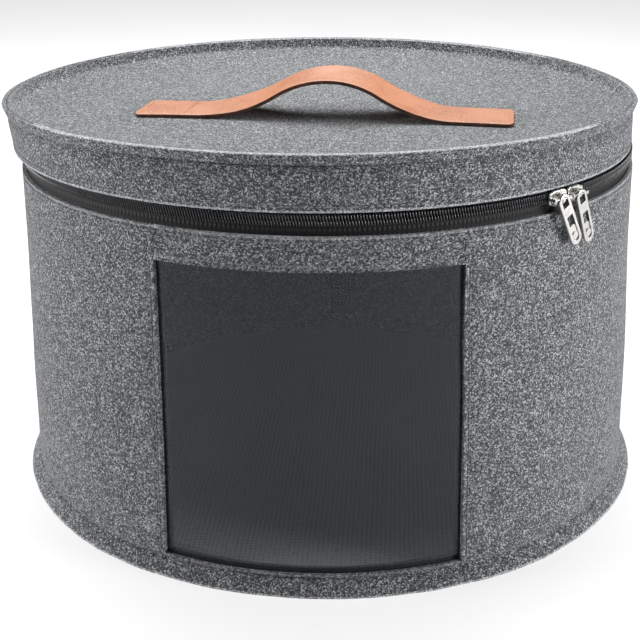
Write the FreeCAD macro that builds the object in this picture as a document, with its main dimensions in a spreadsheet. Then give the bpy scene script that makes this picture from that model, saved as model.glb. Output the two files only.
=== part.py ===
"""Round felt hat box: a soft zip-round drum with a clear front window and a leather lid handle.

Frame: origin at the bottom centre of the box, +Z up, the window faces -Y. Millimetres and degrees.
Azimuth is measured about +Z from the window's middle (-Y), positive towards +X.
"""
import FreeCAD, Part
import Sketcher
import math
import os
import re

Vector = FreeCAD.Vector
UP = Vector(0, 0, 1)

# ---------------------------------------------------------------- driving dimensions
DIMENSIONS = {
    # felt shell
    "body_radius": (210.0, "outside radius of the body wall"),
    "body_height": (220.0, "floor to the top edge of the body wall"),
    "felt": (2.5, "felt thickness"),
    "base_splay": (6.5, "how far the base seam fin stands out past the wall"),
    "base_fin": (9.0, "height of the base seam fin"),
    "base_fold": (4.0, "foot of the fold where the base felt turns up into the fin"),
    "foot_slant": (0.8, "extra width of the wall's foot, where the felt is cut on the slant"),
    "base_groove": (5.4, "height of the groove between the base and its fin"),
    "fold_ease": (0.4, "clearance between the base fold and the wall"),
    "fold_drop": (0.6, "top of the base fold below the top of the fin"),
    "fold_slope": (2.0, "run of the slope from the base felt up to its fold"),
    # base stiffener and lining
    "board": (2.0, "thickness of the base board"),
    "lining": (0.6, "thickness of the base lining cloth"),
    "board_margin": (14.0, "body radius less the board radius"),
    "lining_lap": (2.0, "lining radius less the board radius"),
    "seam_tape_angle": (6.0, "angle that the back seam tape takes up"),
    "seam_tape_end": (6.0, "back seam tape to the base fin, and to the zip tape"),
    "fit_gap": (0.1, "clearance between sewn layers"),
    # lid
    "zip_band": (14.0, "height of the zip showing between body and lid"),
    "lid_ease": (1.0, "lid wall inside radius less body radius"),
    "lid_wall": (26.0, "lid wall, bottom edge to seam line"),
    "lid_fin": (7.5, "height of the lid seam fin above the seam line"),
    "lid_dish": (6.0, "how far the lid panel lies below its seam line"),
    "dish_run": (58.0, "width of the sloping ring around the flat of the lid panel"),
    "rim_bend": (2.0, "width of the bend where the lid panel turns up"),
    "rim_step": (0.4, "top of the panel's rim below the top of the fin"),
    # window
    "window_angle": (49.8, "angle that the window opening takes up"),
    "window_sill": (12.0, "floor to the bottom of the window opening"),
    "window_header": (20.5, "window opening to the top edge of the body wall"),
    "window_sheet": (0.5, "thickness of the clear sheet"),
    "window_lap": (8.0, "how far the clear sheet goes behind the felt"),
    "sheet_foot": (1.5, "how far the clear sheet goes below the opening"),
    "sheet_gap": (1.5, "clear sheet's top edge to the zip tape"),
    "binding_hide": (0.5, "upper binding's edge above the opening"),
    "binding": (0.8, "thickness of the black binding tape"),
    "binding_show": (4.0, "binding that shows inside the opening"),
    # zip
    "tape": (0.8, "zip tape thickness"),
    "tape_inset": (0.5, "body wall inside radius less tape outside radius"),
    "tape_sewn": (11.0, "tape behind each felt edge"),
    "coil_width": (3.0, "one side of the coil, across the chain"),
    "coil_depth": (2.2, "coil, through the chain"),
    "coil_drop": (4.7, "lid wall's edge to the middle of the chain"),
    "chain_gap": (1.0, "slit between the two coils, for the post of a slider"),
    "tape_edge": (0.4, "how far each coil stands past the edge of its tape"),
    "tape_rise": (0.8, "upper coil to where its tape begins to slant"),
    "tape_slant": (4.0, "lid wall's edge to where the tape lies flat on the wall"),
    "tape_crook": (0.4, "how much higher the slant's bends are on the tape's inner side"),
    "tab_thick": (1.2, "thickness of the tabs over the zip's ends"),
    "tab_lift": (0.15, "end tab to the stitches under it"),
    "tab_low": (9.0, "end tab below the top edge of the body wall"),
    "tab_high": (9.5, "end tab above the top edge of the body wall"),
    "tab_angle": (3.4, "angle that an end tab takes up"),
    "tab_past": (1.2, "end tab's middle past the end of the zip, in degrees"),
    "zip_angle": (300.0, "angle that the zip takes up"),
    "hinge_angle": (54.0, "angle that the felt hinge strip takes up"),
    "hinge_felt": (1.6, "thickness of the hinge strip"),
    "hinge_low": (2.0, "body wall's top edge to the hinge strip's lower bend"),
    "hinge_high": (1.0, "hinge strip's upper bend below the lid wall's edge"),
    "hinge_crook": (0.5, "how much higher the bends are on the strip's inner side"),
    # sliders and pulls
    "meet_azimuth": (44.5, "where the two sliders meet"),
    "nose_gap": (1.4, "gap between the two sliders' noses"),
    "bail_foot": (1.5, "length of each foot of the rod that the pull hangs on"),
    "eye_room": (1.2, "room beside the pull's eye, inside each foot"),
    "slider_width": (9.0, "slider, across the chain"),
    "slider_lip": (1.1, "height of the lip under the lower coil"),
    "post_ease": (0.4, "slit between the coils less the slider's post"),
    "slider_plate": (1.2, "slider plate thickness"),
    "slider_ease": (1.2, "slider plate to coil or tape"),
    "bail_radius": (0.7, "radius of the rod that the pull hangs on"),
    "bail_height": (3.4, "outer plate to the middle of the rod"),
    "pull_width": (9.2, "pull tab width"),
    "pull_length": (36.0, "pull tab length"),
    "pull_thick": (2.2, "pull tab thickness"),
    "pull_rim": (2.4, "width of the rim around the pull's openings"),
    "eye_wall": (0.3, "least metal over the pull's bore, besides its rim"),
    "boss_rise": (1.2, "boss above the round end of the pull's recess"),
    "pull_bore_ease": (0.06, "radial clearance of the pull on its rod"),
    "lean_left": (27.0, "how far the left pull hangs off the vertical"),
    "lean_right": (21.0, "how far the right pull hangs off the vertical"),
    # handle
    "strap_length": (250.0, "handle strap, end to end"),
    "strap_width": (47.0, "handle strap width"),
    "strap_thick": (2.4, "handle strap thickness"),
    "strap_rise": (25.0, "room for fingers under the strap"),
    "strap_arch": (176.0, "length of the raised arch"),
    "crest_radius": (62.0, "radius of the arch at its crest"),
    "strap_forward": (42.0, "strap centre in front of the lid centre"),
    "strap_skew": (5.0, "turn of the strap about the vertical"),
    "patch": (1.5, "thickness of the patches that back the strap's ends"),
    "strap_corner": (5.0, "radius of the strap's corners"),
    "row_margin": (4.0, "end of a stitch row to the strap's side"),
    "patch_margin": (4.0, "how far a patch's ends reach past the sewn part of the strap"),
    "patch_side": (3.0, "how far a patch reaches past the strap's sides"),
    "patch_corner": (6.0, "radius of a patch's corners"),
    # thread
    "thread": (0.45, "thread radius"),
    "thread_gap": (0.05, "thread to the felt it lies on"),
    "base_thread_out": (0.4, "base stitches further out, where the wall begins to flare"),
    "seam_rise": (0.6, "base stitches above the fin"),
    "lid_seam_rise": (0.5, "lid seam stitches above the seam"),
    "row_inset": (1.0, "end of an upright stitch row to the opening's corner"),
    "stitch_margin": (3.5, "stitch line to felt edge"),
}

doc = FreeCAD.newDocument("HatBox")
dims = doc.addObject("Spreadsheet::Sheet", "Dims")
for row, (alias, (size, meaning)) in enumerate(DIMENSIONS.items(), start=1):
    dims.set(f"A{row}", meaning)
    dims.set(f"B{row}", str(size))
    dims.setAlias(f"B{row}", alias)
doc.recompute()

NODES = []


def formula(text):
    """An expression in which each named dimension reads the sheet."""
    known = r"\b(" + "|".join(sorted(DIMENSIONS, key=len, reverse=True)) + r")\b"
    return re.sub(known, r"Dims.\1", text)


def number(text):
    """The present value of an expression, for a starting guess or for Part's own functions."""
    found = dims.evalExpression(formula(text))
    return float(found.Value if hasattr(found, "Value") else found)


# Radii and heights that several pieces share, each one written once as an expression.
WALL_IN = "(body_radius - felt)"
LID_IN = "(body_radius + lid_ease)"
LID_OUT = "(body_radius + lid_ease + felt)"
LID_EDGE = "(body_height + zip_band)"
LID_SEAM = "(body_height + zip_band + lid_wall)"
LID_TOP = "(body_height + zip_band + lid_wall + lid_fin)"
LID_FLAT = "(body_height + zip_band + lid_wall - lid_dish)"
FLAT_RADIUS = "(body_radius + lid_ease - felt - dish_run)"
SHEET_OUT = "(body_radius - felt - fit_gap)"
SHEET_IN = "(body_radius - felt - fit_gap - window_sheet)"
TAPE_OUT = "(body_radius - felt - tape_inset)"
TAPE_IN = "(body_radius - felt - tape_inset - tape)"
CHAIN = "(body_height + zip_band - coil_drop)"
WINDOW_TOP = "(body_height - window_header)"
SHEET_LOW = "(window_sill - sheet_foot)"
SHEET_TOP = "(body_height - tape_sewn - sheet_gap)"
SLIDER_LENGTH = "(pull_width + 2 * eye_room + 2 * bail_foot)"
COIL_LOW = f"({CHAIN} - chain_gap / 2 - coil_width)"
COIL_HIGH = f"({CHAIN} + chain_gap / 2 + coil_width)"
BOARD_RADIUS = "(body_radius - board_margin)"
PLATE_IN = "(body_radius - felt - tape_inset + coil_depth + slider_ease)"
PLATE_OUT = "(body_radius - felt - tape_inset + coil_depth + slider_ease + slider_plate)"
ROD = "(body_radius - felt - tape_inset + coil_depth + slider_ease + slider_plate + bail_height)"


def new_node(kind, name):
    piece = doc.addObject(kind, name)
    piece.Label = name
    NODES.append(piece)
    return piece


def plane_of(body, role):
    return next(f for f in body.Origin.OriginFeatures if f.Role == role)


def attach(body, name, role):
    sketch = body.newObject("Sketcher::SketchObject", name)
    sketch.AttachmentSupport = [(plane_of(body, role), "")]
    sketch.MapMode = "FlatFace"
    return sketch


def pin_vertex(sketch, line, across, along):
    """Fixes the start of one edge at (across, along), both bound to the sheet."""
    for kind, axis, text in (("DistanceX", -2, across), ("DistanceY", -1, along)):
        if text == "0":
            sketch.addConstraint(Sketcher.Constraint("PointOnObject", line, 1, axis))
            continue
        index = sketch.addConstraint(Sketcher.Constraint(kind, -1, 1, line, 1, number(text)))
        sketch.setExpression(f"Constraints[{index}]", formula(text))


def polygon(sketch, corners):
    """A closed outline through corners, each an (across, along) pair of expressions."""
    points = [Vector(number(a), number(b), 0) for a, b in corners]
    count = len(points)
    for i in range(count):
        sketch.addGeometry(Part.LineSegment(points[i], points[(i + 1) % count]))
    for i in range(count):
        sketch.addConstraint(Sketcher.Constraint("Coincident", i, 2, (i + 1) % count, 1))
    for i, (across, along) in enumerate(corners):
        pin_vertex(sketch, i, across, along)


def turn_to(piece, azimuth):
    """Turns a piece drawn at the +X side about the box axis to an azimuth."""
    piece.Placement = FreeCAD.Placement(Vector(0, 0, 0), FreeCAD.Rotation(UP, number(azimuth) - 90))
    piece.setExpression("Placement.Rotation.Angle", formula(f"{azimuth} - 90"))


def band(name, profile, sweep="360", azimuth="90"):
    """A felt, tape or cloth piece that goes round the box: a profile of (radius, height) turned
    about the box axis through sweep degrees, with its middle at azimuth."""
    body = new_node("PartDesign::Body", name)
    sketch = attach(body, name + "_profile", "XZ_Plane")
    polygon(sketch, profile)
    turned = body.newObject("PartDesign::Revolution", name + "_turned")
    turned.Profile = sketch
    turned.ReferenceAxis = (sketch, ["V_Axis"])
    turned.Angle = number(sweep)
    turned.Midplane = sweep != "360"
    if sweep != "360":
        turned.setExpression("Angle", formula(sweep))
        turn_to(body, azimuth)
    return body


def rectangle(inner, outer, low, high):
    return [(inner, low), (outer, low), (outer, high), (inner, high)]


# ---------------------------------------------------------------- felt body
WALL_PROFILE = [
    (WALL_IN, "body_height"),
    (WALL_IN, "base_fin"),
    ("body_radius + base_splay - felt - foot_slant", "0"),
    ("body_radius + base_splay", "0"),
    ("body_radius", "base_fin"),
    ("body_radius", "body_height"),
]


def make_felt_body():
    """The wall wraps round from one side of the window to the other; a header and a sill close
    the gap above and below the window, and the base is sewn on in a splayed fin."""
    band("body_wall", WALL_PROFILE, "360 - window_angle", "180")
    band("window_header", rectangle(WALL_IN, "body_radius", WINDOW_TOP, "body_height"),
         "window_angle", "0")
    sill = [(a, "window_sill" if b == "body_height" else b) for a, b in WALL_PROFILE]
    band("window_sill", sill, "window_angle", "0")
    fold_top = "base_fin - fold_drop"
    band("base_panel", [
        ("0", "0"),
        ("body_radius - base_fold * 2 - felt", "0"),
        ("body_radius - base_fold - felt", "base_groove"),
        ("body_radius + base_splay - felt * 2 - foot_slant - fold_ease", "0"),
        ("body_radius + base_splay - felt - foot_slant - fold_ease", "0"),
        ("body_radius - felt - fold_ease", fold_top),
        ("body_radius - felt * 3 - fold_ease", fold_top),
        ("body_radius - base_fold * 2 - felt - fold_slope", "felt"),
        ("0", "felt"),
    ])
    band("base_board", rectangle("0", BOARD_RADIUS, "felt", "felt + board"))
    band("base_lining", rectangle("0", BOARD_RADIUS + " + lining_lap",
                                  "felt + board", "felt + board + lining"))
    band("back_seam_tape", rectangle(WALL_IN + " - fit_gap - tape", WALL_IN + " - fit_gap",
                                     "base_fin + seam_tape_end",
                                     "body_height - tape_sewn - seam_tape_end"),
         "seam_tape_angle", "180")


# ---------------------------------------------------------------- window
def arc_angle(length, radius):
    return f"({length}) / ({radius}) * 180 / pi"


def make_window():
    """A clear sheet behind the opening, edged inside with black binding and sewn all round."""
    lap = arc_angle("window_lap", "body_radius")
    show = arc_angle("binding_show", "body_radius")
    band("window_sheet",
         rectangle(SHEET_IN, SHEET_OUT, SHEET_LOW, SHEET_TOP),
         f"window_angle + 2 * {lap}", "0")
    bound_in = SHEET_IN + " - fit_gap - binding"
    bound_out = SHEET_IN + " - fit_gap"
    side_angle = f"{lap} + {show}"
    upright = rectangle(bound_in, bound_out, SHEET_LOW, SHEET_TOP)
    band("binding_left", upright, side_angle,
         f"-window_angle / 2 + ({show} - {lap}) / 2")
    band("binding_right", upright, side_angle,
         f"window_angle / 2 - ({show} - {lap}) / 2")
    inner_angle = f"window_angle - 2 * {show} - 2 * {arc_angle('fit_gap', 'body_radius')}"
    band("binding_bottom", rectangle(bound_in, bound_out, SHEET_LOW, "window_sill + binding_show"),
         inner_angle, "0")
    band("binding_top", rectangle(bound_in, bound_out, WINDOW_TOP + " + binding_hide", SHEET_TOP),
         inner_angle, "0")


# ---------------------------------------------------------------- zip
def make_zip():
    """Two tapes with a coil each, open at the back where the felt hinge strip takes over."""
    band("zip_tape_lower",
         rectangle(TAPE_IN, TAPE_OUT, "body_height - tape_sewn", COIL_LOW + " + coil_width - tape_edge"),
         "zip_angle", "0")
    lid_out = LID_IN + " - fit_gap"
    lid_in = LID_IN + " - fit_gap - tape"
    band("zip_tape_upper", [
        (TAPE_IN, COIL_HIGH + " - coil_width + tape_edge"),
        (TAPE_OUT, COIL_HIGH + " - coil_width + tape_edge"),
        (TAPE_OUT, COIL_HIGH + " + tape_rise"),
        (lid_out, LID_EDGE + " + tape_slant"),
        (lid_out, LID_EDGE + " + tape_sewn"),
        (lid_in, LID_EDGE + " + tape_sewn"),
        (lid_in, LID_EDGE + " + tape_slant + tape_crook"),
        (TAPE_IN, COIL_HIGH + " + tape_rise + tape_crook"),
    ], "zip_angle", "0")
    coil_in = TAPE_OUT
    coil_out = TAPE_OUT + " + coil_depth"
    band("zip_coil_lower", rectangle(coil_in, coil_out, COIL_LOW, COIL_LOW + " + coil_width"),
         "zip_angle", "0")
    band("zip_coil_upper", rectangle(coil_in, coil_out, COIL_HIGH + " - coil_width", COIL_HIGH),
         "zip_angle", "0")
    for side, sign in (("left", "-"), ("right", "")):
        band(f"zip_end_tab_{side}",
             rectangle("body_radius + 2 * thread + tab_lift",
                       "body_radius + 2 * thread + tab_lift + tab_thick",
                       "body_height - tab_low", "body_height + tab_high"),
             "tab_angle", f"{sign}(zip_angle / 2 + tab_past)")
    inner_low = WALL_IN + " - fit_gap"
    band("hinge_strip", [
        (inner_low + " - hinge_felt", "body_height - tape_sewn"),
        (inner_low, "body_height - tape_sewn"),
        (inner_low, "body_height + hinge_low"),
        (lid_out, LID_EDGE + " - hinge_high"),
        (lid_out, LID_EDGE + " + tape_sewn"),
        (lid_out + " - hinge_felt", LID_EDGE + " + tape_sewn"),
        (lid_out + " - hinge_felt", LID_EDGE + " - hinge_high + hinge_crook"),
        (inner_low + " - hinge_felt", "body_height + hinge_low + hinge_crook"),
    ], "hinge_angle", "180")


# ---------------------------------------------------------------- lid
def make_lid():
    """Lid wall with its upstanding seam fin, and a top panel turned up inside the fin."""
    band("lid_wall", rectangle(LID_IN, LID_OUT, LID_EDGE, LID_TOP))
    rim_out = LID_IN + " - fit_gap"
    rim_in = LID_IN + " - fit_gap - felt"
    band("lid_panel", [
        ("0", LID_FLAT + " - felt"),
        (FLAT_RADIUS, LID_FLAT + " - felt"),
        (rim_in + " - rim_bend", LID_SEAM + " - felt"),
        (rim_out, LID_SEAM + " - felt"),
        (rim_out, LID_TOP + " - rim_step"),
        (rim_in, LID_TOP + " - rim_step"),
        (rim_in, LID_SEAM),
        (rim_in + " - rim_bend", LID_SEAM),
        (FLAT_RADIUS, LID_FLAT),
        ("0", LID_FLAT),
    ])


# ---------------------------------------------------------------- thread
def thread_ring(name, radius, height, sweep="360", azimuth="0"):
    """A row of stitches drawn as one round thread lying on the felt."""
    ring = new_node("Part::Torus", name)
    ring.Radius1 = number(radius)
    ring.Radius2 = number("thread")
    ring.setExpression("Radius1", formula(radius))
    ring.setExpression("Radius2", formula("thread"))
    start = f"{azimuth} - 90 - ({sweep}) / 2"
    ring.Placement = FreeCAD.Placement(
        Vector(0, 0, number(height)), FreeCAD.Rotation(UP, number(start)))
    ring.setExpression("Placement.Base.z", formula(height))
    if sweep != "360":
        ring.Angle3 = number(sweep)
        ring.setExpression("Angle3", formula(sweep))
        ring.setExpression("Placement.Rotation.Angle", formula(start))
    return ring


def make_thread():
    on_wall = "body_radius + thread + thread_gap"
    on_lid = LID_OUT + " + thread + thread_gap"
    thread_ring("lid_seam_thread", on_lid, LID_SEAM + " + lid_seam_rise")
    thread_ring("lid_hem_thread", on_lid, LID_EDGE + " + stitch_margin")
    thread_ring("body_hem_thread", on_wall, "body_height - stitch_margin")
    thread_ring("base_seam_thread", on_wall + " + base_thread_out", "base_fin + seam_rise")
    thread_ring("window_thread_top", on_wall, WINDOW_TOP + " + stitch_margin",
                "window_angle", "0")
    thread_ring("window_thread_bottom", on_wall, "window_sill - thread - thread_gap",
                "window_angle", "0")
    for side, sign in (("left", "-"), ("right", "")):
        post = new_node("Part::Cylinder", f"window_thread_{side}")
        post.Radius = number("thread")
        post.setExpression("Radius", formula("thread"))
        tall = WINDOW_TOP + " - window_sill - 2 * row_inset"
        post.Height = number(tall)
        post.setExpression("Height", formula(tall))
        angle = f"{sign}(window_angle / 2 + {arc_angle('stitch_margin', 'body_radius')})"
        reach = "(body_radius + thread + thread_gap)"
        post.setExpression("Placement.Base.x", formula(f"{reach} * sin(({angle}) * 1deg)"))
        post.setExpression("Placement.Base.y", formula(f"-{reach} * cos(({angle}) * 1deg)"))
        post.setExpression("Placement.Base.z", formula("window_sill + row_inset"))


# ---------------------------------------------------------------- sliders and pulls
def block(length, depth, height, corner):
    """A box given by its size and its lowest corner."""
    return Part.makeBox(length, depth, height, corner)


def place_at(piece, azimuth):
    """Turns a piece drawn at the -Y side about the box axis to an azimuth."""
    piece.Placement = FreeCAD.Placement(Vector(0, 0, 0), FreeCAD.Rotation(UP, azimuth))


def slider_azimuth(side):
    pitch = number(SLIDER_LENGTH) + number("nose_gap")
    half = math.degrees(pitch / 2 / number(ROD))
    return number("meet_azimuth") + (half if side == "right" else -half)


# Shares that shape the castings: a slider is drawn as shares of its length and width, a pull as
# shares of its length, thickness and rim.
TAIL, SHOULDER, WAIST = 0.36, 0.38, 0.2
PLATE_ROUND = 0.45
POST_LONG, POST_AT = 0.22, 0.36
LIP_LONG = SHOULDER + WAIST
INNER_EASE, LIP_EASE, LIP_DROP = 0.4, 0.6, 0.3
FOOT_TALL = 2.6
PULL_ROUND, HEAD_RIM, SIDE_RIM, END_RIM = 0.22, 0.75, 0.85, 1.1
EYE_LONG, BRIDGE_LONG, WEB_DROP, WEB_LONG = 0.24, 0.18, 0.2, 0.33
WEB_THICK, WEB_DEEP, WEB_LAP = 0.35, 0.32, 0.4
BOSS_ROUND, BOSS_THICK, BOSS_DEEP = 0.43, 0.85, 0.1


def shield(length, width, nose):
    """Slider plate outline seen from outside, as (along, across) corners: broad shoulders at
    the nose end, a narrower tail."""
    tail = width * TAIL
    ends = [(-0.5, -tail), (-WAIST, -width / 2), (SHOULDER, -width / 2), (0.5, -tail),
            (0.5, tail), (SHOULDER, width / 2), (-WAIST, width / 2), (-0.5, tail)]
    return [(nose * share * length, across) for share, across in ends]


def plate(outline, depth, near):
    """A flat plate, depth thick, whose outer face lies at radius near, centred on the chain."""
    middle = number(CHAIN)
    corners = [Vector(x, -near, middle + z) for x, z in outline]
    return Part.Face(Part.makePolygon(corners + corners[:1])).extrude(Vector(0, depth, 0))


def softened(shape, radius, wanted):
    """Rounds the edges that wanted picks out."""
    return shape.makeFillet(radius, [e for e in shape.Edges if wanted(e)])


def make_slider(side):
    """Two plates either side of the chain, joined by a post in the slit between the coils, with
    a rod across the outer plate for the pull. It is open above, where the upper coil leaves."""
    nose = -1 if side == "right" else 1
    length, width = number(SLIDER_LENGTH), number("slider_width")
    thick, outer = number("slider_plate"), number(PLATE_OUT)
    middle, rod, rod_radius = number(CHAIN), number(ROD), number("bail_radius")
    inner_face = number(TAPE_IN) - number("slider_ease") * INNER_EASE
    top = plate(shield(length, width, nose), thick, outer)
    top = softened(top, thick * PLATE_ROUND, lambda e: abs(e.CenterOfMass.y + outer) < 0.01)
    back = plate(shield(length, width, nose), thick, inner_face)
    slit = number("chain_gap") - number("post_ease")
    post_long = length * POST_LONG
    post_at = nose * length * POST_AT - post_long / 2
    post = block(post_long, outer - inner_face, slit,
                 Vector(post_at, -(outer - thick / 2), middle - slit / 2))
    lip_high, ease = number("slider_lip"), number("slider_ease")
    lip_deep = number("coil_depth") + ease * LIP_EASE
    lip = block(length * LIP_LONG, lip_deep, lip_high,
                Vector(min(nose * SHOULDER, nose * -WAIST) * length, -(outer - thick / 2),
                       number(COIL_LOW) - ease * LIP_DROP - lip_high))
    body = top.fuse([back, post, lip])
    foot = number("bail_foot")
    for end in (-1, 1):
        body = body.fuse(block(foot, rod + rod_radius - outer + thick / 2, rod_radius * FOOT_TALL,
                               Vector(end * (length - foot) / 2 - foot / 2,
                                      -(rod + rod_radius), middle - rod_radius * FOOT_TALL / 2)))
    bar = Part.makeCylinder(rod_radius, length - foot,
                            Vector(-(length - foot) / 2, -rod, middle), Vector(1, 0, 0))
    piece = new_node("Part::Feature", f"slider_{side}")
    piece.Shape = body.fuse(bar).removeSplitter()
    place_at(piece, slider_azimuth(side))


def stadium(width, top, bottom):
    """A long outline with round ends, in the plane y = 0, from height top down to bottom."""
    radius = width / 2
    high, low = top - radius, bottom + radius
    left = Part.makeLine(Vector(-radius, 0, high), Vector(-radius, 0, low))
    foot = Part.Arc(Vector(-radius, 0, low), Vector(0, 0, bottom), Vector(radius, 0, low))
    right = Part.makeLine(Vector(radius, 0, low), Vector(radius, 0, high))
    head = Part.Arc(Vector(radius, 0, high), Vector(0, 0, top), Vector(-radius, 0, high))
    return Part.Face(Part.Wire([left, foot.toShape(), right, head.toShape()]))


def make_pull(side):
    """A cast tab with an arched eye at the top, a recessed slot and a round boss. Its eye is
    bored crosswise for the slider's rod, which it swings on."""
    width, length, thick = (number(k) for k in ("pull_width", "pull_length", "pull_thick"))
    rim, rod_radius = number("pull_rim"), number("bail_radius")
    above = rod_radius + number("eye_wall") + rim * HEAD_RIM
    outline = stadium(width, above, above - length)
    tab = outline.extrude(Vector(0, thick, 0))
    tab = softened(tab, thick * PULL_ROUND, lambda e: e.Length > rim)
    inside = width - 2 * rim * SIDE_RIM
    eye_top, eye_foot = above - rim * HEAD_RIM, above - length * EYE_LONG
    eye = stadium(inside, eye_top, eye_foot - inside).extrude(Vector(0, thick, 0))
    eye = eye.cut(block(width, thick, length, Vector(-width / 2, 0, eye_foot - length)))
    slot_top = eye_foot - length * BRIDGE_LONG
    recess = stadium(inside, slot_top + inside / 2, above - length + rim * END_RIM)
    recess = recess.extrude(Vector(0, thick, 0))
    recess = recess.cut(block(width, thick, length, Vector(-width / 2, 0, slot_top)))
    web_at, web_tall = slot_top - length * WEB_DROP, length * WEB_LONG
    boss_at = above - length + rim * END_RIM + inside / 2 + number("boss_rise")
    web = stadium(inside + WEB_LAP, web_at, web_at - web_tall)
    web = web.extrude(Vector(0, thick * WEB_THICK, 0)).translated(Vector(0, thick * WEB_DEEP, 0))
    boss = Part.makeCylinder(inside * BOSS_ROUND, thick * BOSS_THICK,
                             Vector(0, thick * BOSS_DEEP, boss_at), Vector(0, 1, 0))
    tab = tab.cut(eye).cut(recess).fuse([web, boss])
    tab.translate(Vector(0, -thick / 2, 0))
    lean = number(f"lean_{side}")
    tab.rotate(Vector(0, 0, 0), Vector(0, 1, 0), -lean)
    bore = Part.makeCylinder(rod_radius + number("pull_bore_ease"), width * 2,
                             Vector(-width, 0, 0), Vector(1, 0, 0))
    tab = tab.cut(bore)
    tab.translate(Vector(0, -number(ROD), number(CHAIN)))
    piece = new_node("Part::Feature", f"pull_{side}")
    piece.Shape = tab.removeSplitter()
    place_at(piece, slider_azimuth(side))


# ---------------------------------------------------------------- handle
def arch_wires(thick):
    """Lower and upper faces of the strap in the XZ plane: a flat sewn end, a long gentle foot,
    a tighter crest, and the same again, every run tangent to the next."""
    half, rise = number("strap_arch") / 2, number("strap_rise")
    crest = number("crest_radius")
    bend = 2 * math.atan2(rise, half)
    foot = half / math.sin(bend) - crest

    def side(offset):
        """Points along one face from the left end to the right, offset above the mid-line."""
        low = foot - offset
        high = crest + offset
        end = number("strap_length") / 2
        ground = offset
        foot_mid = (half - low * math.sin(bend / 2), ground + low * (1 - math.cos(bend / 2)))
        joint = (half - low * math.sin(bend), ground + low * (1 - math.cos(bend)))
        top = (0.0, rise + offset)
        crest_mid = (high * math.sin(bend / 2), top[1] - high * (1 - math.cos(bend / 2)))
        right = [(end, ground), (half, ground), foot_mid, joint, crest_mid, top]
        return right

    return side(0), side(thick)


def strap_face(thick):
    lower, upper = arch_wires(thick)

    def run(points):
        end, half, foot_mid, joint, crest_mid, top = (Vector(x, 0, z) for x, z in points)

        def mirrored(p):
            return Vector(-p.x, 0, p.z)

        return [
            Part.makeLine(mirrored(end), mirrored(half)),
            Part.Arc(mirrored(half), mirrored(foot_mid), mirrored(joint)).toShape(),
            Part.Arc(mirrored(joint), top, joint).toShape(),
            Part.Arc(joint, foot_mid, half).toShape(),
            Part.makeLine(half, end),
        ]

    ends = [Part.makeLine(Vector(s * lower[0][0], 0, lower[0][1]), Vector(s * upper[0][0], 0, upper[0][1]))
            for s in (1, -1)]
    edges = Part.sortEdges(run(lower) + run(upper) + ends)[0]
    return Part.Face(Part.Wire(edges))


def place_on_lid(piece, height):
    """Puts a piece drawn about the strap's centre onto the lid panel."""
    turn = FreeCAD.Rotation(UP, -number("strap_skew"))
    piece.Placement = FreeCAD.Placement(Vector(0, -number("strap_forward"), height), turn)


def make_handle():
    """The leather strap, its two lines of stitches at each end, and the patches under the felt
    that spread their pull."""
    width, thick = number("strap_width"), number("strap_thick")
    length, half = number("strap_length") / 2, number("strap_arch") / 2
    rest = number(LID_FLAT) + number("fit_gap")
    strap = new_node("Part::Feature", "handle_strap")
    solid = strap_face(thick).extrude(Vector(0, width, 0)).translated(Vector(0, -width / 2, 0))
    corners = [e for e in solid.Edges
               if abs(abs(e.CenterOfMass.x) - length) < 0.01 and abs(abs(e.CenterOfMass.y) - width / 2) < 0.01]
    strap.Shape = solid.makeFillet(number("strap_corner"), corners)
    place_on_lid(strap, rest)
    thread_radius = number("thread")
    tab = length - half
    row_long = width - 2 * number("row_margin")
    rows = []
    for side in (-1, 1):
        for inset in (number("stitch_margin"), tab - number("stitch_margin")):
            x = side * (length - inset)
            rows.append(Part.makeCylinder(
                thread_radius, row_long,
                Vector(x, -row_long / 2, thick + thread_radius + number("thread_gap")), Vector(0, 1, 0)))
    stitches = new_node("Part::Feature", "handle_stitches")
    stitches.Shape = Part.makeCompound(rows)
    place_on_lid(stitches, rest)
    patch = number("patch")
    patch_long = tab + 2 * number("patch_margin")
    patch_wide = width + 2 * number("patch_side")
    for name, side in (("left", -1), ("right", 1)):
        backing = new_node("Part::Feature", f"handle_patch_{name}")
        start = side * (length - tab / 2) - patch_long / 2
        slab = block(patch_long, patch_wide, patch, Vector(start, -patch_wide / 2, -patch))
        backing.Shape = softened(
            slab, number("patch_corner"), lambda e: abs(e.Vertexes[0].Z - e.Vertexes[-1].Z) > patch * 0.9)
        place_on_lid(backing, number(LID_FLAT) - number("felt") - number("fit_gap"))


# ---------------------------------------------------------------- build, check, write
def check_everything():
    """Stops if any object failed, or any node's shape is missing or unsound."""
    for item in doc.Objects:
        bad = [s for s in item.State if s in ("Invalid", "Error")]
        if bad:
            raise RuntimeError(f"{item.Name}: {bad}")
    for piece in NODES:
        if piece.Shape.isNull() or not piece.Shape.isValid():
            raise RuntimeError(f"{piece.Label}: the shape is missing or not valid")
        if piece.Shape.Volume < 1:
            raise RuntimeError(f"{piece.Label}: the shape has no volume")


def main():
    make_felt_body()
    make_window()
    make_zip()
    make_lid()
    make_thread()
    for side in ("left", "right"):
        make_slider(side)
        make_pull(side)
    make_handle()
    doc.recompute()
    check_everything()
    os.makedirs("parts", exist_ok=True)
    for piece in NODES:
        piece.Shape.exportStep(f"parts/{piece.Label}.step")
        box = piece.Shape.BoundBox
        print(f"{piece.Label:24s} solids {len(piece.Shape.Solids)}  volume {piece.Shape.Volume:10.1f}"
              f"  x {box.XMin:7.1f} {box.XMax:7.1f}  y {box.YMin:7.1f} {box.YMax:7.1f}"
              f"  z {box.ZMin:6.1f} {box.ZMax:6.1f}")
    print(f"{len(NODES)} nodes")
    for side in ("left", "right"):
        print(f"slider_{side} azimuth {slider_azimuth(side):.3f}")
    print(f"rod radius {number(ROD):.3f}, chain height {number(CHAIN):.3f}")


main()
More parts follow.
